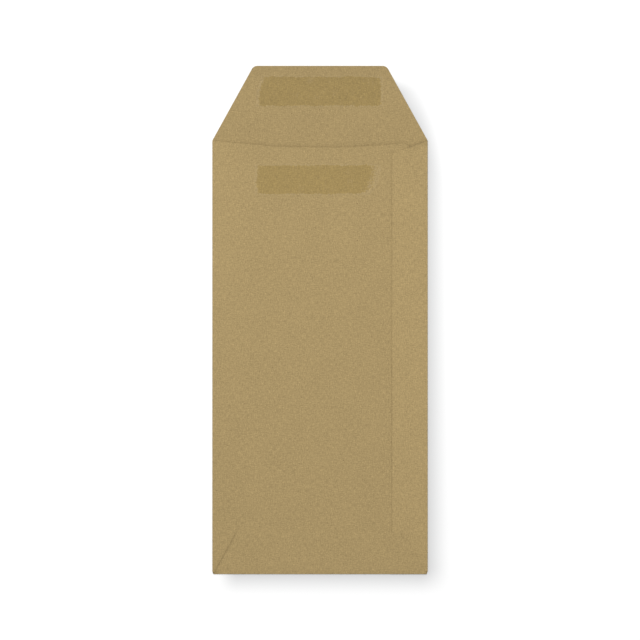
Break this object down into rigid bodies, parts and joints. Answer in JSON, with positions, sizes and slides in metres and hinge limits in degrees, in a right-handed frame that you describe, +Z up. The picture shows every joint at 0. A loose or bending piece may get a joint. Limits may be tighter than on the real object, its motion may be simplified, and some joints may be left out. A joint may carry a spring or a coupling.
{
  "type": "paper envelope",
  "caption": "Pocket envelope folded from one brown paper sheet: side seam, glued bottom flap, and an open tapered top flap with two gummed sealing patches",
  "frame": {"origin": "centre of the front (address) panel's outer face, which lies on the surface", "axes": "+X to the right edge, which has the seam strip; +Y along the length towards the top flap; +Z up, out of the back panel"},
  "size_m": [0.1094, 0.2584, 0.0016],
  "materials": {
    "manila_paper": "uncoated brown manila paper, matt, with a fine fibrous grain and a faint close ribbing",
    "seam_glue": "dried white adhesive film, hidden between the layers",
    "latex_gum": "thin dried latex sealing gum, translucent, slightly darker and yellower than the paper, satin"
  },
  "bodies": {
    "root": {"envelope_paper": "manila_paper", "side_seam_glue": "seam_glue", "bottom_flap_glue": "seam_glue", "flap_gum": "latex_gum", "back_gum": "latex_gum"}
  },
  "joints": []
}
